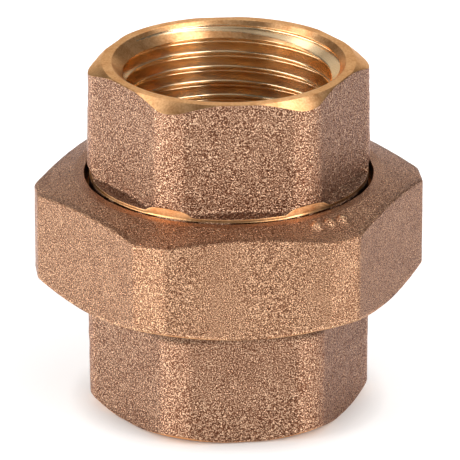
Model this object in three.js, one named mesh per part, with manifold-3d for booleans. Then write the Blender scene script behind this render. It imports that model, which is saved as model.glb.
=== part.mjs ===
// Three-piece pipe union in cast bronze, 1 inch, female by female, with a flat seat.
// The lower end carries the male union thread. The tail piece stands on a flat gasket on top of it,
// and the union nut's inner lip pulls the tail piece's collar down when the nut is screwed home.
// Millimetres, +Z up the pipe's axis, origin at the centre of the lower port's face.
import * as THREE from "three";
import { mergeVertices } from "three/addons/utils/BufferGeometryUtils.js";
import Module from "manifold-3d";

const wasm = await Module();
wasm.setup();

// ---- Driving dimensions ----

const LENGTH = 52.6; // port face to port face, nut screwed home
const GAP = 0.3; // left between faces that rest on each other

// Both port threads: 1 inch parallel pipe thread, right-hand, 11 turns to the inch.
const PITCH = 25.4 / 11;
const PORT_THREAD = { crest: 14.9, root: 16.6, depth: 17.0 };
const TOP_THREAD_START = 0.28; // of a turn, where the top port's thread begins
const RUNOUT_SLOPE = 10; // degrees, where a port's thread ends in the waterway
const PORT_RING_OUTER = 18.55; // turned ring on the port's face
const PORT_MOUTH = 17.13; // countersink where the thread starts
const WATERWAY_R = 13.9; // plain bore between the port threads

// Union thread: 1 1/2 inch parallel pipe thread with the same pitch.
const MALE_THREAD = { root: 22.27, crest: 23.75 };
const NUT_THREAD = { crest: 22.57, root: 24.05 };

// Hexagonal socket ends: half the width across flats where it is narrowest, at the port's face.
// The moulding draft widens both towards the nut, in mm a side for each mm of height.
const TAIL_HEX = { half: 18.45, corner: 4.86, draft: 0.011, turn: -2.55, chamfer: 34.1 };
const LOWER_HEX = { half: 18.52, corner: 4.66, draft: 0.009, turn: 0, chamfer: 31.6 };

// Union nut.
const NUT_BOTTOM = 19.25;
const NUT_TOP = 35.4;
const NUT_HEX = { half: 25.84, corner: 2.0, draft: 0, turn: -0.54 };
const NUT_ROUND_R = 28.58; // the hexagon's points are turned off to this radius
const NUT_FLAT_TOP_R = 22.6; // flat ring round the hole, before the top slopes away
const NUT_TOP_SLOPE = 16.9;
const NUT_FOOT_R = 25.7; // turned face under the nut, before the bottom chamfer
const NUT_FOOT_SLOPE = 25.8;
const NUT_HOLE_R = 21.2;
const NUT_LIP = 2.8; // thickness of the inner lip
const NUT_MOUTH_R = 24.55; // countersink where the nut's thread starts
const NUT_RELIEF = { r: 24.15, height: 2.6 }; // plain groove between the thread and the lip

// Tail piece below its hexagon.
const NECK_R = 20.45;
const NECK_TOP = 35.8;
const COLLAR_R = 22.1;
const COLLAR_HEIGHT = 2.2;

// Flat gasket.
const GASKET = { inner: 16.0, outer: 22.0, thick: 2.0 };

// Lower end above its hexagon.
const BOSS_BOTTOM = 20.2;
const BOSS_MOUTH_R = 21.9; // the male thread's start is chamfered down to this

const SMALL_CHAMFER = 0.4;
const SPARE = 2; // how far a cutting shape runs past the face that it cuts
const ROUND_SEGMENTS = 48;
const THREAD_SEGMENTS = 30; // to the turn
const CORNER_SEGMENTS = 4; // on a hexagon's rounded corner

// ---- Heights that follow from those ----

const lipBottom = NUT_TOP - NUT_LIP;
const collarTop = lipBottom - GAP;
const tailSeat = collarTop - COLLAR_HEIGHT;
const gasketTop = tailSeat - GAP;
const gasketBottom = gasketTop - GASKET.thick;
const lowerSeat = gasketBottom - GAP;

const rad = THREE.MathUtils.degToRad;
const rise = (run, degrees) => run * Math.tan(rad(degrees));

// ---- Shapes ----

// A closed geometry as a manifold-3d solid. Triangles that shrink to a line on the axis are dropped.
function solid(geometry) {
  const bare = geometry.clone();
  bare.deleteAttribute("normal");
  bare.deleteAttribute("uv");
  const merged = mergeVertices(bare, 1e-4);
  const index = merged.index.array;
  const triVerts = [];
  for (let i = 0; i < index.length; i += 3) {
    const [a, b, c] = index.slice(i, i + 3);
    if (a !== b && b !== c && c !== a) triVerts.push(a, b, c);
  }
  const mesh = new wasm.Mesh({
    numProp: 3,
    vertProperties: merged.attributes.position.array,
    triVerts: new Uint32Array(triVerts),
  });
  return new wasm.Manifold(mesh);
}

// A profile of [radius, height] points turned round the Z axis. The points run upwards on the outside
// of the solid, and the profile ends on the axis or, for a ring, where it began.
function revolve(points) {
  const profile = points.map(([r, z]) => new THREE.Vector2(r, z));
  const geometry = new THREE.LatheGeometry(profile, ROUND_SEGMENTS);
  return solid(geometry.rotateX(Math.PI / 2));
}

// A hexagonal prism with rounded corners and one flat facing -Y before its turn. It stands between two
// heights. Its width across flats is given at the height `narrow` and grows away from there.
function hexPrism({ half, corner, draft, turn }, low, high, narrow) {
  const outline = new THREE.Shape();
  const centre = (half - corner) / Math.cos(rad(30));
  for (let k = 0; k < 6; k++) {
    const angle = rad(60 * k);
    const x = centre * Math.cos(angle);
    const y = centre * Math.sin(angle);
    outline.absarc(x, y, corner, angle - rad(30), angle + rad(30), false);
  }
  const geometry = new THREE.ExtrudeGeometry(outline, {
    depth: high - low,
    bevelEnabled: false,
    curveSegments: CORNER_SEGMENTS,
  });
  geometry.translate(0, 0, low);
  const position = geometry.attributes.position;
  for (let i = 0; i < position.count; i++) {
    const grow = 1 + (draft * Math.abs(position.getZ(i) - narrow)) / half;
    position.setXY(i, position.getX(i) * grow, position.getY(i) * grow);
  }
  return solid(geometry.rotateZ(rad(turn)));
}

// A rod with a right-hand screw thread from end to end, lowered by `shift`. Each turn of the profile is a
// valley, a flank, a ridge and a flank. The two ends are rough and are meant to be trimmed off: at least
// one pitch of rod is spare beyond `low` and beyond `high`.
function threadedRod({ inner, outer }, low, high, shift = 0) {
  const flatHalf = PITCH / 12;
  const profile = [
    [inner, -flatHalf],
    [inner, flatHalf],
    [outer, PITCH / 2 - flatHalf],
    [outer, PITCH / 2 + flatHalf],
  ];
  const per = profile.length;
  const start = Math.floor(low / PITCH) - 2;
  const turns = Math.ceil((high - low) / PITCH) + 4;
  const rows = per * turns + 1;
  const positions = [];
  const columns = [];
  for (let j = 0; j < THREAD_SEGMENTS; j++) {
    const angle = (2 * Math.PI * j) / THREAD_SEGMENTS;
    const column = [];
    const count = j === 0 ? rows + per : rows;
    for (let i = 0; i < count; i++) {
      const [r, offset] = profile[i % per];
      const z = PITCH * (start + Math.floor(i / per) + j / THREAD_SEGMENTS) + offset - shift;
      column.push(positions.length / 3);
      positions.push(r * Math.cos(angle), r * Math.sin(angle), z);
    }
    columns.push(column);
  }
  // One turn on, the first column's points lie one pitch higher.
  columns.push(columns[0].slice(per));
  const foot = positions.length / 3;
  positions.push(0, 0, PITCH * start);
  const head = foot + 1;
  positions.push(0, 0, PITCH * (start + turns + 1));
  const triangles = [];
  for (let j = 0; j < THREAD_SEGMENTS; j++) {
    const left = columns[j];
    const right = columns[j + 1];
    for (let i = 0; i < rows - 1; i++) {
      triangles.push(left[i], right[i], right[i + 1]);
      triangles.push(left[i], right[i + 1], left[i + 1]);
    }
    triangles.push(foot, right[0], left[0]);
    triangles.push(head, left[rows - 1], right[rows - 1]);
  }
  // The step of one pitch in the first column closes each end.
  for (let i = 0; i < per; i++) {
    triangles.push(foot, columns[0][i], columns[0][i + 1]);
    triangles.push(head, columns[0][rows + i], columns[0][rows - 1 + i]);
  }
  const geometry = new THREE.BufferGeometry();
  geometry.setAttribute("position", new THREE.Float32BufferAttribute(positions, 3));
  geometry.setIndex(triangles);
  return solid(geometry);
}

// The space cut out of a socket end: the countersunk mouth, the port thread and the waterway that runs
// on to the seat. `face` is the port's face, `seat` the other end, on either side of it, and `start` the
// part of a turn by which the thread is set round.
function portBore(face, seat, start) {
  const inwards = Math.sign(seat - face);
  const threadEnd = face + inwards * PORT_THREAD.depth;
  const mouthDepth = PORT_MOUTH - PORT_THREAD.crest;
  const outside = face - inwards * SPARE;
  const cone = [
    [0, outside],
    [PORT_MOUTH + SPARE, outside],
    [PORT_THREAD.crest, face + inwards * mouthDepth],
    [0, face + inwards * mouthDepth],
  ];
  const trim = [
    [0, outside],
    [PORT_MOUTH, outside],
    [PORT_MOUTH, threadEnd],
    [0, threadEnd + inwards * rise(PORT_MOUTH, RUNOUT_SLOPE)],
  ];
  const bore = [
    [0, outside],
    [WATERWAY_R, outside],
    [WATERWAY_R, seat + inwards * SPARE],
    [0, seat + inwards * SPARE],
  ];
  if (inwards < 0) [cone, trim, bore].forEach((points) => points.reverse());
  const radii = { inner: PORT_THREAD.crest, outer: PORT_THREAD.root };
  const low = Math.min(face, threadEnd);
  const high = Math.max(face, threadEnd);
  const rod = threadedRod(radii, low, high, start * PITCH);
  return rod.intersect(revolve(trim)).add(revolve(cone)).add(revolve(bore));
}

// ---- Pieces ----

function lowerEnd() {
  const clear = LOWER_HEX.half + SPARE + LOWER_HEX.corner;
  const hexTop = BOSS_BOTTOM + SPARE / 2;
  const hexEnvelope = revolve([
    [0, 0],
    [PORT_RING_OUTER, 0],
    [clear, rise(clear - PORT_RING_OUTER, LOWER_HEX.chamfer)],
    [clear, hexTop],
    [0, hexTop],
  ]);
  const hexagon = hexPrism(LOWER_HEX, 0, BOSS_BOTTOM, 0).intersect(hexEnvelope);
  const over = MALE_THREAD.crest + SPARE;
  const chamferRise = over - BOSS_MOUTH_R;
  const bossEnvelope = revolve([
    [0, BOSS_BOTTOM - SPARE],
    [BOSS_MOUTH_R - SPARE, BOSS_BOTTOM - SPARE],
    [over, BOSS_BOTTOM + chamferRise],
    [over, lowerSeat - chamferRise],
    [BOSS_MOUTH_R, lowerSeat],
    [0, lowerSeat],
  ]);
  const radii = { inner: MALE_THREAD.root, outer: MALE_THREAD.crest };
  const boss = threadedRod(radii, BOSS_BOTTOM, lowerSeat).intersect(bossEnvelope);
  return hexagon.add(boss).subtract(portBore(0, lowerSeat, 0));
}

function gasket() {
  return revolve([
    [GASKET.inner, gasketTop],
    [GASKET.inner, gasketBottom],
    [GASKET.outer, gasketBottom],
    [GASKET.outer, gasketTop],
    [GASKET.inner, gasketTop],
  ]);
}

function tailPiece() {
  const clear = TAIL_HEX.half + SPARE + TAIL_HEX.corner;
  const hexEnvelope = revolve([
    [0, collarTop],
    [NECK_R, collarTop],
    [NECK_R, NECK_TOP],
    [clear, NECK_TOP + clear - NECK_R],
    [clear, LENGTH - rise(clear - PORT_RING_OUTER, TAIL_HEX.chamfer)],
    [PORT_RING_OUTER, LENGTH],
    [0, LENGTH],
  ]);
  const hexagon = hexPrism(TAIL_HEX, collarTop, LENGTH, LENGTH).intersect(hexEnvelope);
  const neck = revolve([
    [0, tailSeat],
    [COLLAR_R - SMALL_CHAMFER, tailSeat],
    [COLLAR_R, tailSeat + SMALL_CHAMFER],
    [COLLAR_R, collarTop],
    [NECK_R, collarTop],
    [NECK_R, NECK_TOP],
    [0, NECK_TOP],
  ]);
  return hexagon.add(neck).subtract(portBore(LENGTH, tailSeat, TOP_THREAD_START));
}

function unionNut() {
  const envelope = revolve([
    [0, NUT_BOTTOM],
    [NUT_FOOT_R, NUT_BOTTOM],
    [NUT_ROUND_R, NUT_BOTTOM + rise(NUT_ROUND_R - NUT_FOOT_R, NUT_FOOT_SLOPE)],
    [NUT_ROUND_R, NUT_TOP - rise(NUT_ROUND_R - NUT_FLAT_TOP_R, NUT_TOP_SLOPE)],
    [NUT_FLAT_TOP_R, NUT_TOP],
    [0, NUT_TOP],
  ]);
  const block = hexPrism(NUT_HEX, NUT_BOTTOM, NUT_TOP, NUT_BOTTOM).intersect(envelope);
  const threadTop = lipBottom - NUT_RELIEF.height;
  const below = NUT_BOTTOM - SPARE;
  const threadTrim = revolve([
    [0, below],
    [NUT_MOUTH_R, below],
    [NUT_MOUTH_R, threadTop],
    [0, threadTop],
  ]);
  const radii = { inner: NUT_THREAD.crest, outer: NUT_THREAD.root };
  const thread = threadedRod(radii, below, threadTop).intersect(threadTrim);
  const mouthDepth = NUT_MOUTH_R - NUT_THREAD.crest;
  const countersink = revolve([
    [0, below],
    [NUT_MOUTH_R + SPARE, below],
    [NUT_THREAD.crest, NUT_BOTTOM + mouthDepth],
    [0, NUT_BOTTOM + mouthDepth],
  ]);
  const relief = revolve([
    [0, threadTop - SMALL_CHAMFER],
    [NUT_RELIEF.r, threadTop - SMALL_CHAMFER],
    [NUT_RELIEF.r, lipBottom],
    [0, lipBottom],
  ]);
  const hole = revolve([
    [0, lipBottom - SPARE],
    [NUT_HOLE_R, lipBottom - SPARE],
    [NUT_HOLE_R, NUT_TOP + SPARE],
    [0, NUT_TOP + SPARE],
  ]);
  return block.subtract(thread.add(countersink).add(relief).add(hole));
}

// ---- Assembly ----

const castBronze = { color: 0xa6744f, roughness: 0.55, metalness: 0.9 };
const nutBronze = { color: 0x9c6c4a, roughness: 0.5, metalness: 0.9 };
const blackRubber = { color: 0x1b1b1c, roughness: 0.8, metalness: 0 };

function piece(name, body, finish) {
  const { vertProperties, triVerts } = body.getMesh();
  const geometry = new THREE.BufferGeometry();
  geometry.setAttribute("position", new THREE.BufferAttribute(vertProperties, 3));
  geometry.setIndex(new THREE.BufferAttribute(triVerts, 1));
  geometry.computeVertexNormals();
  const mesh = new THREE.Mesh(geometry, new THREE.MeshStandardMaterial(finish));
  mesh.name = name;
  return mesh;
}

const group = new THREE.Group();
group.add(piece("lower_end", lowerEnd(), castBronze));
group.add(piece("gasket", gasket(), blackRubber));
group.add(piece("tail_piece", tailPiece(), castBronze));
group.add(piece("union_nut", unionNut(), nutBronze));

export default group;
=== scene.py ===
"""Visual model of a cast bronze pipe union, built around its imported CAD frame.

Each piece is one closed surface: a profile that runs once round the piece's cross-section is swept round the
pipe's axis. Each column of the sweep has its own profile, so that hexagons, scalloped chamfers and screw
threads all come out of the same grid. Lengths in the profiles are millimetres in the row frame.
"""

import math
from collections import namedtuple

import bpy
import numpy as np
from mathutils import Matrix, Vector


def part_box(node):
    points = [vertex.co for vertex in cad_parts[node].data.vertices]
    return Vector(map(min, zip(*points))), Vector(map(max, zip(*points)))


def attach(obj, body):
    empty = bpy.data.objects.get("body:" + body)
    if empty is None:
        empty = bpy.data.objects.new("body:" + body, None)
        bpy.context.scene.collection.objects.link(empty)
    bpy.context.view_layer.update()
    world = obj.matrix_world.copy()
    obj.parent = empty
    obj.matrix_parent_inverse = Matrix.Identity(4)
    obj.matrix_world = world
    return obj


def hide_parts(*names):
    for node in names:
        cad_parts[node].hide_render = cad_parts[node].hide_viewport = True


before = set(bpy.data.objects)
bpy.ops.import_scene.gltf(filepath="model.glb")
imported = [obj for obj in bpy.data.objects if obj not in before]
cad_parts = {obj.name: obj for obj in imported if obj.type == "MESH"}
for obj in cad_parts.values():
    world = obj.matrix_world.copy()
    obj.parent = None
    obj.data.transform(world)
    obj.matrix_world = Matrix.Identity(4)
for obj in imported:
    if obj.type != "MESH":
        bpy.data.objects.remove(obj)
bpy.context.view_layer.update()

MM = 0.001
METRE = 1000.0

# ---- Driving dimensions, in millimetres and degrees ----

tail_low, tail_high = (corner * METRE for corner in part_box("tail_piece"))
nut_low, nut_high = (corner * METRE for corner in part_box("union_nut"))
lower_low, lower_high = (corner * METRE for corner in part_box("lower_end"))
gasket_low, gasket_high = (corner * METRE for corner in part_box("gasket"))

# Half the width across flats, the corners' radius, how much that half grows with each millimetre from the
# port's face, the turn about the axis, and the slope of the chamfer round the face.
Hexagon = namedtuple("Hexagon", "half corner draft turn chamfer")
TAIL_HEX = Hexagon(half=18.45, corner=4.86, draft=0.011, turn=-2.55, chamfer=34.1)
LOWER_HEX = Hexagon(half=18.52, corner=4.66, draft=0.009, turn=0.0, chamfer=31.6)

# Threads
PITCH = 25.4 / 11
FLANK_ANGLE = math.radians(27.5)
CREST_FLAT = 0.20
CREST_ROUNDING = 0.10
ROOT_ROUNDING = 0.12
PORT_THREAD_DEPTH = 1.72
UNION_THREAD_DEPTH = 1.48

# Ports and waterway, which the tail piece and the lower end share
PORT_CREST_R = 14.9
PORT_DEPTH = 17.0
PORT_MOUTH_R = 17.13
PORT_RING_R = 18.55
PORT_CHAMFER_LEAST = 0.15  # the least width of the chamfer between the ring and the flats
TOP_PORT_PHASE = 0.28  # in turns, as BOTTOM_PORT_PHASE is
BOTTOM_PORT_PHASE = 0.0
WATERWAY_R = 13.9
WATERWAY_FLARE = 0.9  # height of the cone from the waterway out to the port thread's crests

# Tail piece
NECK_R = 20.45
NECK_TOP = 35.76
SCALLOP_HALF_ANGLE = math.radians(10)
SCALLOP_HEIGHT = 0.95
LEDGE_STEP = 0.12
LEDGE_SLOPE = 0.25
COLLAR_R = 22.1
COLLAR_HEIGHT = 2.2

# Lower end
BOSS_BOTTOM = 20.2
BOSS_MOUTH_R = 21.9
MALE_ROOT_R = 22.27

# Union nut
NUT_HALF = 25.84
NUT_FACET = 28.42  # from the axis to the small flats that cut off the nut's corners
NUT_FACET_SOFTNESS = 0.07
NUT_TURN = -0.54
NUT_FOOT_R = 25.7
NUT_FOOT_SLOPE = 25.8
NUT_FOOT_CHAMFER_LEAST = 0.14  # the least width of the chamfer round the foot
NUT_FLAT_TOP_R = 22.6
NUT_TOP_SLOPE = 16.9
NUT_HOLE_R = 21.2
NUT_LIP = 2.8
NUT_CREST_R = 22.57
NUT_ROOT_R = 24.05
NUT_MOUTH_R = 24.55
NUT_GROOVE_R = NUT_ROOT_R + 0.1
NUT_GROOVE_HEIGHT = 2.6

# Three raised pips in a row on the nut's sloping top
PIP_ANGLE = 299.8
PIP_CENTRE_R = 24.4
PIP_SPACING = 2.3
PIP_RADIUS = 1.05
PIP_HEIGHT = 0.7
PIP_STEEPNESS = 1.6

# Sealing ring
GASKET_INNER_R = 16.0
GASKET_BEVEL = 0.05
GASKET_SEAM = (0.2, 0.6)  # below the top face, where the profile starts and ends on the inner wall

# ---- Cast skin: its relief, and its wear and painted light and shade, high where it is rubbed and where light is painted, low where shade is painted ----

SOCKET_RELIEF = 0.07  # in millimetres, as the next four are
NUT_RELIEF = 0.03
GASKET_RELIEF = 0.01
COARSE_LUMP = 1.3
FINE_LUMP = 0.7
LUMP_SHARE = 0.6  # of each size of lump in the relief
TAIL_SEED = 3
LOWER_SEED = 11
NUT_SEED = 23
GASKET_SEED = 31

SOCKET_CORNER_REACH = 0.135  # in radians, as the next two are
NUT_CORNER_REACH = 0.105
CORNER_FADE = 0.035
# painted light on the nut's sloping top
NUT_TOP_PAINTED_LIGHT = 0.7
BROW_MARGIN = 0.3  # how far above the upper edge of its flats the nut counts as top
NUT_RIM_PAINTED_HIGHLIGHT = 1.8  # a painted highlight on the edge above the foot's chamfer
NUT_RIM_INSET = 0.3
NUT_RIM_HALF_HEIGHT = 0.35
PIP_WEAR = 1.5
LEDGE_PAINTED_SHADE = -0.3  # painted shade under the tail piece's hexagon
LEDGE_MARGIN = 0.05
GAP_PAINTED_SHADE = -2.2  # painted shade between the tail piece's neck and the nut's hole
GAP_START = 0.12  # below the nut's top face
GAP_DEPTH = 2.0
HOLE_MARGIN = 0.02
RECESS_PAINTED_SHADOW = -1.3  # painted shadow at the top of the lower hexagon, inside the nut's foot
RECESS_LOW = 15.7
RECESS_FADE = 0.6

# ---- Fineness of the meshes ----

SOCKET_COLUMNS = 300
NUT_COLUMNS = 432
GASKET_COLUMNS = 180
FINE_PORT_DEPTH = 11.0
FINE_PORT_ROWS = 150
COARSE_PORT_ROWS = 34
BOSS_THREAD_ROWS = 62
NUT_THREAD_ROWS = 110
ARC_ROWS = 4
LONGEST_CUT = 0.45  # the most that a corner's rounding takes, as a share of the run on each side

# ---- Sweeping a profile ----

# A point of a profile. r and z are numbers or arrays over the columns. The corner there is rounded, and the
# run that follows it is cut into rows and has that skin.
Stop = namedtuple("Stop", "r z rounding rows skin")
CAST, TURNED, THREAD = range(3)  # a skin is also the place of its material in a piece's slots


def column_angles(columns):
    return np.arange(columns) * (2 * math.pi / columns)


def profile_rows(stops, columns):
    """Rows of an open profile with rounded corners, and the skin of the strip after each row."""
    points = [
        np.array([np.broadcast_to(s.r, columns), np.broadcast_to(s.z, columns)], float)
        for s in stops
    ]
    rows, skins = [], []
    leave = points[0]
    for i in range(len(stops) - 1):
        here = stops[i]
        has_corner = i + 2 < len(stops)
        if has_corner:
            corner = points[i + 1]
            back = points[i] - corner
            ahead = points[i + 2] - corner
            back_length = np.hypot(*back)
            ahead_length = np.hypot(*ahead)
            cosine = (back * ahead).sum(0) / (back_length * ahead_length)
            half_angle = np.arccos(np.clip(cosine, -0.9999, 0.9999)) / 2
            cut = stops[i + 1].rounding / np.tan(half_angle)
            cut = np.minimum(cut, LONGEST_CUT * np.minimum(back_length, ahead_length))
            arrive = corner + back / back_length * cut
            next_leave = corner + ahead / ahead_length * cut
        else:
            arrive = points[i + 1]
        for k in range(here.rows + 1):
            t = k / here.rows
            rows.append(leave * (1 - t) + arrive * t)
            skins.append(here.skin)
        if has_corner:
            for k in range(1, ARC_ROWS):
                t = k / ARC_ROWS
                rows.append(arrive * (1 - t) ** 2 + 2 * corner * t * (1 - t) + next_leave * t * t)
                skins.append(here.skin if k < ARC_ROWS / 2 else stops[i + 1].skin)
            leave = next_leave
    return rows, skins


def thread_rows(start, end, count, radius_at, columns):
    """Rows at even heights between two ends, both left out, with the radius given by a function."""
    angles = column_angles(columns)
    rows = []
    for k in range(1, count):
        z = start + (end - start) * k / count
        rows.append(np.array([radius_at(z, angles), np.full(columns, z)]))
    return rows, [THREAD] * (count - 1)


def radii_and_heights(rows):
    """The rows' radii and their heights, each as an array over rows and columns."""
    return (np.array([row[i] for row in rows]) for i in (0, 1))


def grid_points(rows, columns):
    angles = column_angles(columns)
    r, z = radii_and_heights(rows)
    return np.stack([r * np.cos(angles), r * np.sin(angles), z], axis=-1)


def grid_normals(points):
    along = np.roll(points, -1, axis=0) - np.roll(points, 1, axis=0)
    around = np.roll(points, -1, axis=1) - np.roll(points, 1, axis=1)
    normals = np.cross(around, along)
    return normals / np.maximum(np.linalg.norm(normals, axis=-1, keepdims=True), 1e-9)


def hashed(cells, seed):
    """A fixed random number from -1 to 1 for each whole-number cell."""
    x, y, z = (cells[..., i].astype(np.uint32) for i in range(3))
    h = x * np.uint32(374761393) + y * np.uint32(668265263) + z * np.uint32(2246822519) + np.uint32(seed * 97)
    h = (h ^ (h >> np.uint32(13))) * np.uint32(1274126177)
    h = (h ^ (h >> np.uint32(16))) * np.uint32(2654435761)
    return ((h ^ (h >> np.uint32(15))) & np.uint32(0xFFFFFF)) / float(0x7FFFFF) - 1.0


def lumps(points, size, seed):
    """Smooth random bumps about that size, from -1 to 1, at points in millimetres."""
    scaled = points / size + 1000.0  # every cell stays above zero
    cells = np.floor(scaled).astype(np.int64)
    f = scaled - cells
    f = f * f * (3 - 2 * f)
    total = np.zeros(points.shape[:-1])
    for dx in (0, 1):
        for dy in (0, 1):
            for dz in (0, 1):
                step = np.array([dx, dy, dz])
                weight = np.prod(np.where(step, f, 1 - f), axis=-1)
                total += weight * hashed(cells + step, seed)
    return total


def swept_mesh(name, rows, skins, columns, relief, seed, wear_and_painted_shading=0.0):
    """A closed mesh from the rows, with lumps that high on its cast skin. A skin is a number or an array over
    the columns, and the wear with painted light and shade is a number or an array over rows and columns."""
    points = grid_points(rows, columns)
    skin = np.array([np.broadcast_to(s, columns) for s in skins])
    cast_part = (skin == CAST).astype(float)
    for _ in range(2):  # the relief fades out towards a turned skin
        neighbours = np.roll(cast_part, 1, 0) + np.roll(cast_part, -1, 0)
        cast_part = np.minimum(cast_part, (neighbours + 2 * cast_part) / 4)
    height = LUMP_SHARE * lumps(points, COARSE_LUMP, seed) + LUMP_SHARE * lumps(points, FINE_LUMP, seed + 1)
    points = points + grid_normals(points) * (relief * height * cast_part)[..., None]
    count = len(rows)
    index = np.arange(count * columns).reshape(count, columns)
    below = np.roll(index, -1, axis=0)
    quads = [index, np.roll(index, -1, axis=1), np.roll(below, -1, axis=1), below]
    faces = np.stack(quads, axis=-1).reshape(-1, 4)
    corners = points.reshape(-1, 3)
    a, b, c = (corners[faces[:, i]] for i in range(3))
    inside_out = np.einsum("ij,ij->", a, np.cross(b, c)) < 0
    if inside_out:
        faces = faces[:, ::-1]
    mesh = bpy.data.meshes.new(name)
    mesh.from_pydata((corners * MM).tolist(), [], faces.tolist())
    mesh.polygons.foreach_set("use_smooth", np.ones(len(faces), bool))
    mesh.polygons.foreach_set("material_index", skin.reshape(-1).astype(np.int32))
    # The attribute holds wear, and also painted highlights and painted shade.
    wear_and_shading_attribute = mesh.attributes.new("wear_and_painted_shading", "FLOAT", "POINT")
    wear_and_shading_attribute.data.foreach_set("value", np.broadcast_to(wear_and_painted_shading, skin.shape).astype(np.float32).reshape(-1))
    mesh.update()
    piece = bpy.data.objects.new(name, mesh)
    bpy.context.scene.collection.objects.link(piece)
    return piece


# ---- Shapes that the pieces share ----


def rise(run, degrees):
    return run * math.tan(math.radians(degrees))


def from_flat(angles, turn):
    """The angle to the nearest flat's middle of a hexagon that has one flat facing -Y before its turn."""
    sixth = math.pi / 3
    return (angles - math.radians(turn)) % sixth - sixth / 2


def from_corner(angles, turn):
    """The angle to that hexagon's nearest corner, never below zero."""
    return math.pi / 6 - np.abs(from_flat(angles, turn))


def corner_wear_and_highlight(angles, turn, reach):
    """How much each column is paled for rubbing and a painted highlight: 1 on a hexagon's corners and 0 past
    that many radians from them.
    """
    return np.clip((reach - from_corner(angles, turn)) / CORNER_FADE, 0, 1)


def hexagon_radius(angles, hexagon):
    """From the axis to the outline of a hexagon with rounded corners, where it is narrowest."""
    t = from_flat(angles, hexagon.turn)
    half, corner = hexagon.half, hexagon.corner
    centre = (half - corner) / math.cos(math.pi / 6)
    a = from_corner(angles, hexagon.turn)
    arc = centre * np.cos(a) + np.sqrt(np.maximum(corner**2 - (centre * np.sin(a)) ** 2, 0))
    on_flat = np.abs(t) < math.atan2(centre / 2, half)
    return np.where(on_flat, half / np.cos(t), arc)


def widened(radius, hexagon, distance):
    """The hexagon's radius that far from the port's face, where the draft has made it wider."""
    return radius * (1 + hexagon.draft * distance / hexagon.half)


def nut_radius(angles):
    """From the axis to the nut's outline: flats, and a smaller facet across each corner, softly joined."""
    flat = NUT_HALF / np.cos(from_flat(angles, NUT_TURN))
    facet = NUT_FACET / np.cos(from_corner(angles, NUT_TURN))
    total = np.exp(-flat / NUT_FACET_SOFTNESS) + np.exp(-facet / NUT_FACET_SOFTNESS)
    return -NUT_FACET_SOFTNESS * np.log(total)


def above_zero(value, rounding):
    """The value where it is above zero and zero where it is below, with the corner between them rounded."""
    return (value + np.sqrt(value**2 + rounding**2)) / 2


def thread_height(z, angles, depth, phase=0.0):
    """How far out from the crest line of a right-hand internal screw thread a point lies, in mm."""
    turns = (z / PITCH + phase - angles / (2 * math.pi)) % 1.0
    from_crest = np.minimum(turns, 1 - turns) * PITCH
    flank = (from_crest - CREST_FLAT / 2) / math.tan(FLANK_ANGLE)
    return depth - above_zero(depth - above_zero(flank, CREST_ROUNDING), ROOT_ROUNDING)


def port_rows(face, inward, phase, columns):
    """Rows of a port's bore from its inner end out to its face, closer together near the face. The bore is
    the countersunk mouth or the thread, whichever is wider."""
    middle = face + inward * FINE_PORT_DEPTH
    end = face + inward * PORT_DEPTH

    def thread(z, angles):
        return PORT_CREST_R + thread_height(z, angles, PORT_THREAD_DEPTH, phase)

    def radius(z, angles):
        return np.maximum(PORT_MOUTH_R - abs(z - face), thread(z, angles))

    deep, _ = thread_rows(end, middle, COARSE_PORT_ROWS, radius, columns)
    near, _ = thread_rows(middle, face, FINE_PORT_ROWS, radius, columns)
    rows = deep + near
    angles = column_angles(columns)
    skins = [np.where(row[0] > thread(row[1], angles), TURNED, THREAD) for row in rows]
    return rows, skins


# ---- Pieces ----


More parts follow.
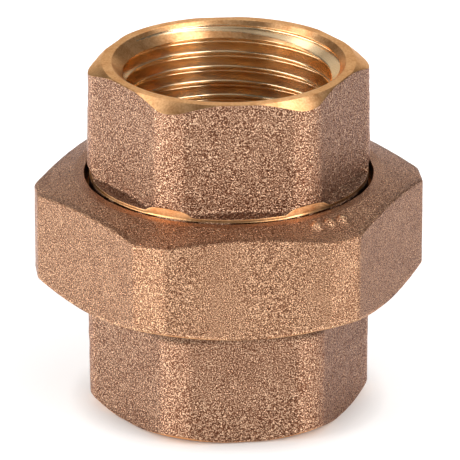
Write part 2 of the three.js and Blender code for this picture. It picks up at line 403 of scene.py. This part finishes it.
def tail_piece():
    columns = SOCKET_COLUMNS
    angles = column_angles(columns)
    top = tail_high.z
    seat = tail_low.z
    hexagon = TAIL_HEX
    narrow = hexagon_radius(angles, hexagon)
    ring = np.minimum(PORT_RING_R, narrow - PORT_CHAMFER_LEAST)
    shoulder = top - rise(1, hexagon.chamfer) * (narrow - ring)
    wide = widened(narrow, hexagon, top - NECK_TOP)
    scallop = np.maximum(1 - (from_corner(angles, hexagon.turn) / SCALLOP_HALF_ANGLE) ** 2, 0)
    edge = NECK_TOP + SCALLOP_HEIGHT * np.sqrt(scallop)
    ledge = edge + LEDGE_STEP + LEDGE_SLOPE * np.maximum(NECK_R - wide, 0)
    gap_top = nut_high.z - GAP_START
    thread_end = top - PORT_DEPTH
    stops = [
        Stop(PORT_MOUTH_R, top, 0, 4, TURNED),
        Stop(ring, top, 0.08, 4, TURNED),
        Stop(narrow, shoulder, 0.1, 58, CAST),
        Stop(wide, ledge, 0.5, 6, CAST),
        Stop(NECK_R, edge, 0.08, 4, TURNED),
        Stop(NECK_R, gap_top, 0, 6, CAST),
        Stop(NECK_R, seat + COLLAR_HEIGHT, 0.3, 2, TURNED),
        Stop(COLLAR_R, seat + COLLAR_HEIGHT, 0.15, 3, TURNED),
        Stop(COLLAR_R, seat, 0.3, 6, TURNED),
        Stop(WATERWAY_R, seat, 0.2, 4, TURNED),
        Stop(WATERWAY_R, thread_end - WATERWAY_FLARE, 0.1, 2, TURNED),
        Stop(PORT_CREST_R, thread_end, 0, 1, THREAD),
    ]
    outside, outside_skins = profile_rows(stops, columns)
    port, port_skins = port_rows(top, -1, TOP_PORT_PHASE, columns)
    rows = outside + port
    # Turned rows at these heights get the painted shade too, but only the cast skin shows it.
    _, heights = radii_and_heights(rows)
    in_gap = (heights > gap_top - GAP_DEPTH) & (heights < gap_top)
    on_ledge = (heights > gap_top) & (heights < ledge - LEDGE_MARGIN)
    # The corners are paler, for rubbing and a painted highlight.
    wear_and_painted_shading = corner_wear_and_highlight(angles, hexagon.turn, SOCKET_CORNER_REACH)
    # The ledge under the hexagon gets painted shade.
    wear_and_painted_shading = np.where(on_ledge, LEDGE_PAINTED_SHADE, wear_and_painted_shading)
    # The neck below the nut's top face gets painted shade.
    wear_and_painted_shading = np.where(in_gap, GAP_PAINTED_SHADE, wear_and_painted_shading)
    skins = outside_skins + port_skins
    return swept_mesh("tail_casting", rows, skins, columns, SOCKET_RELIEF, TAIL_SEED, wear_and_painted_shading)


def lower_end():
    columns = SOCKET_COLUMNS
    angles = column_angles(columns)
    face = lower_low.z
    seat = lower_high.z
    hexagon = LOWER_HEX
    narrow = hexagon_radius(angles, hexagon)
    ring = np.minimum(PORT_RING_R, narrow - PORT_CHAMFER_LEAST)
    shoulder = face + rise(1, hexagon.chamfer) * (narrow - ring)
    wide = widened(narrow, hexagon, BOSS_BOTTOM - face)
    thread_end = face + PORT_DEPTH

    def boss_radius(z, angles):
        thread = MALE_ROOT_R + thread_height(z, angles, UNION_THREAD_DEPTH)
        ends = BOSS_MOUTH_R + min(z - BOSS_BOTTOM, seat - z)
        return np.minimum(thread, ends)

    hexagon_stops = [
        Stop(PORT_MOUTH_R, face, 0, 4, TURNED),
        Stop(ring, face, 0.08, 4, TURNED),
        Stop(narrow, shoulder, 0.15, 44, CAST),
        Stop(wide, BOSS_BOTTOM, 0.7, 3, TURNED),
        Stop(BOSS_MOUTH_R, BOSS_BOTTOM, 0, 1, THREAD),
    ]
    waterway_stops = [
        Stop(BOSS_MOUTH_R, seat, 0, 6, TURNED),
        Stop(WATERWAY_R, seat, 0.2, 5, TURNED),
        Stop(WATERWAY_R, thread_end + WATERWAY_FLARE, 0.1, 2, TURNED),
        Stop(PORT_CREST_R, thread_end, 0, 1, THREAD),
    ]
    stretches = [
        profile_rows(hexagon_stops, columns),
        thread_rows(BOSS_BOTTOM, seat, BOSS_THREAD_ROWS, boss_radius, columns),
        profile_rows(waterway_stops, columns),
        port_rows(face, 1, BOTTOM_PORT_PHASE, columns),
    ]
    rows = [row for stretch_rows, _ in stretches for row in stretch_rows]
    skins = [skin for _, stretch_skins in stretches for skin in stretch_skins]
    _, heights = radii_and_heights(rows)
    # The top of the lower hexagon, under the nut's foot, gets a painted shadow.
    in_painted_shadow = np.clip((heights - RECESS_LOW) / RECESS_FADE, 0, 1)
    # The corners are paler, for rubbing and a painted highlight.
    rubbed_and_painted = corner_wear_and_highlight(angles, hexagon.turn, SOCKET_CORNER_REACH)
    wear_and_painted_shading = rubbed_and_painted * (1 - in_painted_shadow) + RECESS_PAINTED_SHADOW * in_painted_shadow
    return swept_mesh("lower_casting", rows, skins, columns, SOCKET_RELIEF, LOWER_SEED, wear_and_painted_shading)


def pips(r, angles):
    """The three pips on the nut's top, as a share of their height from 0 to 1."""
    along = PIP_CENTRE_R * (angles - math.radians(PIP_ANGLE))
    distances = [np.hypot(along - k * PIP_SPACING, r - PIP_CENTRE_R) for k in (-1, 0, 1)]
    return sum(np.clip(PIP_STEEPNESS * (1 - distance / PIP_RADIUS), 0, 1) for distance in distances)


def union_nut():
    columns = NUT_COLUMNS
    angles = column_angles(columns)
    top = nut_high.z
    foot = nut_low.z
    lip = top - NUT_LIP
    thread_top = lip - NUT_GROOVE_HEIGHT
    outline = nut_radius(angles)
    ring = np.minimum(NUT_FOOT_R, outline - NUT_FOOT_CHAMFER_LEAST)
    heel = foot + rise(1, NUT_FOOT_SLOPE) * (outline - ring)
    brow = top - rise(1, NUT_TOP_SLOPE) * (outline - NUT_FLAT_TOP_R)

    def bore_radius(z, angles):
        thread = NUT_CREST_R + thread_height(z, angles, UNION_THREAD_DEPTH)
        return np.maximum(thread, NUT_MOUTH_R - (z - foot))

    stops = [
        Stop(NUT_MOUTH_R, foot, 0, 3, TURNED),
        Stop(ring, foot, 0.08, 3, TURNED),
        Stop(outline, heel, 0.3, 40, CAST),
        Stop(outline, brow, 0.5, 26, CAST),
        Stop(NUT_FLAT_TOP_R, top, 0.8, 5, CAST),
        Stop(NUT_HOLE_R, top, 0.15, 6, CAST),
        Stop(NUT_HOLE_R, lip, 0.15, 4, TURNED),
        Stop(NUT_GROOVE_R, lip, 0.3, 4, TURNED),
        Stop(NUT_GROOVE_R, thread_top, 0, 1, THREAD),
    ]
    outside, outside_skins = profile_rows(stops, columns)
    for row in outside:
        row[1] += PIP_HEIGHT * pips(row[0], angles) * (row[1] > brow + BROW_MARGIN)
    bore, bore_skins = thread_rows(thread_top, foot, NUT_THREAD_ROWS, bore_radius, columns)
    rows = outside + bore
    radii, heights = radii_and_heights(rows)
    # Above the brow the nut's top is made paler: painted light.
    on_top = heights > brow + BROW_MARGIN
    # The edge above the foot's chamfer gets a painted highlight.
    on_rim = (radii > ring + NUT_RIM_INSET) & (np.abs(heights - heel) < NUT_RIM_HALF_HEIGHT)
    in_hole = (radii < NUT_HOLE_R + HOLE_MARGIN) & (heights > lip)
    # The corners are paler, for rubbing and a painted highlight.
    wear_and_painted_shading = np.where(on_top, NUT_TOP_PAINTED_LIGHT, corner_wear_and_highlight(angles, NUT_TURN, NUT_CORNER_REACH))
    wear_and_painted_shading = np.where(on_rim, NUT_RIM_PAINTED_HIGHLIGHT, wear_and_painted_shading)
    wear_and_painted_shading = wear_and_painted_shading + PIP_WEAR * on_top * pips(radii, angles)
    # The hole's wall, above the lip, gets painted shade.
    wear_and_painted_shading = np.where(in_hole, GAP_PAINTED_SHADE, wear_and_painted_shading)
    skins = outside_skins + bore_skins
    return swept_mesh("nut_casting", rows, skins, columns, NUT_RELIEF, NUT_SEED, wear_and_painted_shading)


def sealing_ring():
    """The ring has the one skin, which takes the first material slot and a little relief, as CAST does."""
    columns = GASKET_COLUMNS
    outer = gasket_high.x
    top = gasket_high.z
    bottom = gasket_low.z
    seam_start, seam_end = GASKET_SEAM
    stops = [
        Stop(GASKET_INNER_R, top - seam_start, 0, 1, CAST),
        Stop(GASKET_INNER_R + GASKET_BEVEL, top, 0.3, 8, CAST),
        Stop(outer, top, 0.3, 4, CAST),
        Stop(outer, bottom, 0.3, 8, CAST),
        Stop(GASKET_INNER_R, bottom, 0.3, 4, CAST),
        Stop(GASKET_INNER_R, top - seam_end, 0, 1, CAST),
    ]
    rows, skins = profile_rows(stops, columns)
    return swept_mesh("sealing_ring", rows, skins, columns, GASKET_RELIEF, GASKET_SEED)


# ---- Materials ----


class Nodes:
    """A short way to add linked shader nodes to a new material."""

    def __init__(self, name):
        self.material = bpy.data.materials.new(name)
        self.material.use_nodes = True
        self.tree = self.material.node_tree
        self.tree.nodes.clear()
        self.output = self.add("ShaderNodeOutputMaterial")
        self.shader = self.add("ShaderNodeBsdfPrincipled")
        self.link(self.shader.outputs[0], self.output.inputs[0])
        self.place = self.add("ShaderNodeTexCoord").outputs["Object"]

    def add(self, kind, **settings):
        node = self.tree.nodes.new(kind)
        for key, value in settings.items():
            setattr(node, key, value)
        return node

    def link(self, source, target):
        self.tree.links.new(source, target)

    def noise(self, size_mm, detail=2.0, roughness=0.5, vector=None):
        node = self.add("ShaderNodeTexNoise")
        node.inputs["Scale"].default_value = METRE / size_mm
        node.inputs["Detail"].default_value = detail
        node.inputs["Roughness"].default_value = roughness
        self.link(vector or self.place, node.inputs["Vector"])
        return node.outputs["Fac"]

    def ramp(self, source, stops):
        node = self.add("ShaderNodeValToRGB")
        elements = node.color_ramp.elements
        while len(elements) < len(stops):
            elements.new(0.5)
        for element, (position, color) in zip(elements, stops):
            element.position = position
            element.color = (*color, 1.0)
        self.link(source, node.inputs["Fac"])
        return node.outputs["Color"]

    def span(self, source, low, high, from_low=0.0, from_high=1.0):
        """The source's range from_low to from_high, stretched to low to high."""
        node = self.add("ShaderNodeMapRange")
        node.inputs["From Min"].default_value = from_low
        node.inputs["From Max"].default_value = from_high
        node.inputs["To Min"].default_value = low
        node.inputs["To Max"].default_value = high
        self.link(source, node.inputs["Value"])
        return node.outputs["Result"]

    def math(self, operation, a, b=0.0):
        node = self.add("ShaderNodeMath", operation=operation)
        for socket, value in zip(node.inputs, (a, b)):
            if isinstance(value, (int, float)):
                socket.default_value = value
            else:
                self.link(value, socket)
        return node.outputs[0]

    def mixed(self, a, b, share):
        """The sum of two values, with that share of the second."""
        return self.math("ADD", self.math("MULTIPLY", a, 1 - share), self.math("MULTIPLY", b, share))

    def bump(self, height, distance_mm, normal=None):
        node = self.add("ShaderNodeBump")
        node.inputs["Distance"].default_value = distance_mm * MM
        self.link(height, node.inputs["Height"])
        if normal is not None:
            self.link(normal, node.inputs["Normal"])
        return node.outputs["Normal"]


# The tint that bronze still gives to what it reflects at a glancing angle
CAST_EDGE_TINT = (0.84, 0.77, 0.78, 1.0)
TURNED_EDGE_TINT = (0.90, 0.76, 0.58, 1.0)

CAST_PATCH_MM = 4.0
CAST_PATCH_SHARE = 0.05
CAST_RAMP_REACH = 0.11
CAST_PIT_ROUGHNESS = 0.42
CAST_TIP_ROUGHNESS = 0.24
# The gain on the attribute of wear, painted highlights and painted shade, and the brightness where it is 0
WEAR_AND_SHADING_GAIN = 0.3
BASE_BRIGHTNESS = 0.9
COARSE_GRAIN = 2.0  # times the fine grain's size
COARSE_DEPTH = 1.7  # times the fine grain's depth

TOOL_MARK_MM = 0.22
STAIN_MM = 2.5
STAIN_ROUGHENING = 0.06
MOTTLE_MM = 0.3
TURNED_RAMP_REACH = 0.12

RUBBER_SPECK_MM = 0.4
RUBBER_DEPTH_MM = 0.02
RUBBER_DARK = (0.012, 0.012, 0.013)
RUBBER_PALE = (0.03, 0.03, 0.032)


def cast_material(name, pit, skin, tip, grain_mm, depth_mm):
    """Rough cast metal: dark pits, pale smooth tips, and a brightness scaled by an attribute that holds
    wear, painted highlights and painted shade.
    """
    nodes = Nodes(name)
    grain = nodes.noise(grain_mm, detail=2.0, roughness=0.65)
    mix = nodes.mixed(grain, nodes.noise(CAST_PATCH_MM), CAST_PATCH_SHARE)
    bronze = nodes.ramp(mix, [(0.5 - CAST_RAMP_REACH, pit), (0.5, skin), (0.5 + CAST_RAMP_REACH, tip)])
    # The attribute holds wear, and also painted highlights and painted shade.
    wear_and_painted_shading = nodes.add("ShaderNodeAttribute", attribute_name="wear_and_painted_shading").outputs["Fac"]
    brightness = nodes.math("ADD", nodes.math("MULTIPLY", wear_and_painted_shading, WEAR_AND_SHADING_GAIN), BASE_BRIGHTNESS)
    rubbed_and_painted = nodes.add("ShaderNodeVectorMath", operation="SCALE")
    nodes.link(bronze, rubbed_and_painted.inputs[0])
    nodes.link(brightness, rubbed_and_painted.inputs["Scale"])
    nodes.link(rubbed_and_painted.outputs[0], nodes.shader.inputs["Base Color"])
    nodes.shader.inputs["Metallic"].default_value = 1.0
    nodes.shader.inputs["Specular Tint"].default_value = CAST_EDGE_TINT
    roughness = nodes.span(grain, CAST_PIT_ROUGHNESS, CAST_TIP_ROUGHNESS, from_low=0.35, from_high=0.65)
    nodes.link(roughness, nodes.shader.inputs["Roughness"])
    coarse = nodes.bump(nodes.noise(grain_mm * COARSE_GRAIN, detail=1.0), depth_mm * COARSE_DEPTH)
    nodes.link(nodes.bump(grain, depth_mm, coarse), nodes.shader.inputs["Normal"])
    return nodes.material


def turned_material(name, dark, light, roughness, mark_depth_mm, mottling):
    """Machined metal: ring-shaped tool marks, a stretched highlight and faint stains. Mottling is the share
    of fine specks in the stains."""
    nodes = Nodes(name)
    split = nodes.add("ShaderNodeSeparateXYZ")
    nodes.link(nodes.place, split.inputs[0])
    x, y, z = split.outputs
    radius = nodes.math("SQRT", nodes.math("ADD", nodes.math("MULTIPLY", x, x), nodes.math("MULTIPLY", y, y)))
    rings = nodes.add("ShaderNodeCombineXYZ")
    nodes.link(radius, rings.inputs[0])
    nodes.link(z, rings.inputs[2])
    marks = nodes.noise(TOOL_MARK_MM, detail=3.0, roughness=0.6, vector=rings.outputs[0])
    stain = nodes.noise(STAIN_MM, detail=3.0)
    mottle = nodes.mixed(stain, nodes.noise(MOTTLE_MM), mottling)
    bronze = nodes.ramp(mottle, [(0.5 - TURNED_RAMP_REACH, dark), (0.5 + TURNED_RAMP_REACH, light)])
    nodes.link(bronze, nodes.shader.inputs["Base Color"])
    nodes.shader.inputs["Metallic"].default_value = 1.0
    nodes.shader.inputs["Specular Tint"].default_value = TURNED_EDGE_TINT
    nodes.shader.inputs["Anisotropic"].default_value = 0.8
    nodes.shader.inputs["Anisotropic Rotation"].default_value = 0.25
    stained = nodes.span(stain, roughness, roughness + STAIN_ROUGHENING, from_low=0.3, from_high=0.7)
    nodes.link(stained, nodes.shader.inputs["Roughness"])
    nodes.link(nodes.bump(marks, mark_depth_mm), nodes.shader.inputs["Normal"])
    return nodes.material


def rubber_material(name):
    nodes = Nodes(name)
    speck = nodes.noise(RUBBER_SPECK_MM, detail=3.0)
    nodes.link(nodes.ramp(speck, [(0.3, RUBBER_DARK), (0.7, RUBBER_PALE)]), nodes.shader.inputs["Base Color"])
    nodes.link(nodes.span(speck, 0.55, 0.75, from_low=0.3, from_high=0.7), nodes.shader.inputs["Roughness"])
    nodes.link(nodes.bump(speck, RUBBER_DEPTH_MM), nodes.shader.inputs["Normal"])
    return nodes.material


# ---- Stage, in millimetres and degrees where nothing else is said ----

CAMERA_AZIMUTH = -7.02
CAMERA_ELEVATION = 21.96
CAMERA_DISTANCE = 911.8
CAMERA_TARGET_HEIGHT = 26.0
CAMERA_LENS = 485.2
CAMERA_SENSOR = 36.0
CAMERA_OFFSET = (0.176, -0.016)
CAMERA_CLIP_END = 20.0  # metres
LIGHT_DISTANCE = 600.0

# Name, azimuth from the camera's, elevation, degrees wide, degrees tall, radiance
LIGHTS = [
    ("left_softbox", -74, 23, 44, 52, 4.0),
    ("left_front_reflector", -41, 8, 22, 22, 3.0),
    ("left_back_reflector", -108, 8, 24, 22, 2.2),
    ("front_reflector", 0, 8, 56, 26, 0.8),
    ("right_softbox", 47, 29, 30, 38, 5.6),
    ("upper_right_softbox", 60, 60, 24, 14, 3.2),
    ("right_reflector", 50, 2, 36, 18, 1.5),
    ("back_right_softbox", 130, 64, 30, 12, 2.4),
    ("back_left_softbox", -134, 54, 20, 10, 1.8),
    ("back_reflector", 180, 20, 50, 50, 0.6),
    ("upper_back_reflector", 180, 58, 50, 26, 0.95),
    ("overhead_reflector", 60, 70, 60, 40, 0.4),
]
WORLD_STRENGTH = 0.11

# The floor, in metres. It glows a little, so it is pale right up to the object, but not beneath it: a painted
# shadow.
FLOOR_SIZE = 6.0
FLOOR_DROP = 0.0002
FLOOR_GREY = 0.7
FLOOR_ROUGHNESS = 0.9
NEAR_GLOW = 0.46
NEAR_GLOW_DISTANCE = 0.06
FAR_GLOW = 0.62
FAR_GLOW_DISTANCE = 0.16
NO_GLOW_DISTANCE = 0.017
FULL_GLOW_DISTANCE = 0.024


def outward(azimuth, elevation):
    """A unit vector from the object, for an azimuth that is 0 towards -Y and grows towards +X."""
    a = math.radians(azimuth)
    e = math.radians(elevation)
    return Vector((math.sin(a) * math.cos(e), -math.cos(a) * math.cos(e), math.sin(e)))


def facing_object(away):
    """The turn of a camera or a light that lies that way from the object and points at it."""
    return (-away).to_track_quat("-Z", "Y").to_matrix()


def make_camera():
    camera = bpy.data.objects.new("camera", bpy.data.cameras.new("camera"))
    camera.data.lens = CAMERA_LENS
    camera.data.sensor_width = CAMERA_SENSOR
    camera.data.clip_end = CAMERA_CLIP_END
    away = outward(CAMERA_AZIMUTH, CAMERA_ELEVATION)
    turn = facing_object(away)
    aside = turn @ Vector((*CAMERA_OFFSET, 0))
    place = Vector((0, 0, CAMERA_TARGET_HEIGHT)) + away * CAMERA_DISTANCE + aside
    camera.matrix_world = Matrix.Translation(place * MM) @ turn.to_4x4()
    bpy.context.scene.collection.objects.link(camera)
    bpy.context.scene.camera = camera


def make_light(name, azimuth, elevation, wide, tall, radiance):
    """A studio light that covers that many degrees of the view from the object."""
    width, height = (2 * LIGHT_DISTANCE * math.tan(math.radians(span) / 2) for span in (wide, tall))
    light = bpy.data.lights.new(name, "AREA")
    light.shape = "RECTANGLE"
    light.size = width * MM
    light.size_y = height * MM
    light.energy = radiance * math.pi * width * height * MM * MM
    lamp = bpy.data.objects.new(name, light)
    away = outward(CAMERA_AZIMUTH + azimuth, elevation)
    place = (Vector((0, 0, CAMERA_TARGET_HEIGHT)) + away * LIGHT_DISTANCE) * MM
    lamp.matrix_world = Matrix.Translation(place) @ facing_object(away).to_4x4()
    bpy.context.scene.collection.objects.link(lamp)


def make_world():
    world = bpy.data.worlds.new("studio")
    bpy.context.scene.world = world
    world.use_nodes = True
    background = world.node_tree.nodes["Background"]
    background.inputs["Color"].default_value = (1.0, 1.0, 1.0, 1.0)
    background.inputs["Strength"].default_value = WORLD_STRENGTH


def make_floor():
    bpy.ops.mesh.primitive_plane_add(size=FLOOR_SIZE, location=(0, 0, -FLOOR_DROP))
    floor = bpy.context.object
    floor.name = "floor"
    nodes = Nodes("floor")
    nodes.shader.inputs["Base Color"].default_value = (FLOOR_GREY, FLOOR_GREY, FLOOR_GREY, 1.0)
    nodes.shader.inputs["Roughness"].default_value = FLOOR_ROUGHNESS
    nodes.shader.inputs["Emission Color"].default_value = (1.0, 1.0, 1.0, 1.0)
    length = nodes.add("ShaderNodeVectorMath", operation="LENGTH")
    nodes.link(nodes.place, length.inputs[0])
    distance = length.outputs["Value"]
    glow = nodes.span(distance, NEAR_GLOW, FAR_GLOW, NEAR_GLOW_DISTANCE, FAR_GLOW_DISTANCE)
    # No glow beneath the object: a painted shadow.
    outside_painted_shadow = nodes.span(distance, 0.0, 1.0, NO_GLOW_DISTANCE, FULL_GLOW_DISTANCE)
    nodes.link(nodes.math("MULTIPLY", glow, outside_painted_shadow), nodes.shader.inputs["Emission Strength"])
    floor.data.materials.append(nodes.material)


# ---- Assembly ----

bpy.context.scene.view_settings.view_transform = "Standard"
make_camera()
make_world()
make_floor()
for light in LIGHTS:
    make_light(*light)

turned = turned_material(
    "turned_bronze",
    dark=(0.74, 0.34, 0.13),
    light=(0.96, 0.56, 0.27),
    roughness=0.28,
    mark_depth_mm=0.012,
    mottling=0.55,
)
cut_thread = turned_material(
    "cut_thread",
    dark=(0.88, 0.62, 0.36),
    light=(0.93, 0.68, 0.41),
    roughness=0.19,
    mark_depth_mm=0.002,
    mottling=0.0,
)
cast = cast_material(
    "cast_bronze",
    pit=(0.104, 0.038, 0.020),
    skin=(0.240, 0.108, 0.060),
    tip=(0.76, 0.50, 0.33),
    grain_mm=0.19,
    depth_mm=0.11,
)
nut_cast = cast_material(
    "nut_cast_bronze",
    pit=(0.100, 0.038, 0.019),
    skin=(0.275, 0.121, 0.063),
    tip=(0.86, 0.55, 0.34),
    grain_mm=0.15,
    depth_mm=0.09,
)
rubber = rubber_material("black_rubber")

# Piece, body, CAD node, the record's material slot, and the materials in the order of the skins
PIECES = [
    (tail_piece(), "tail_piece", "tail_piece", "cast_bronze", [cast, turned, cut_thread]),
    (union_nut(), "union_nut", "union_nut", "nut_bronze", [nut_cast, turned, cut_thread]),
    (lower_end(), "lower_end", "lower_end", "cast_bronze", [cast, turned, cut_thread]),
    (sealing_ring(), "gasket", "gasket", "gasket_rubber", [rubber]),
]
for piece, body, node, slot, materials in PIECES:
    for material in materials:
        piece.data.materials.append(material)
    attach(piece, body)
    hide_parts(node)
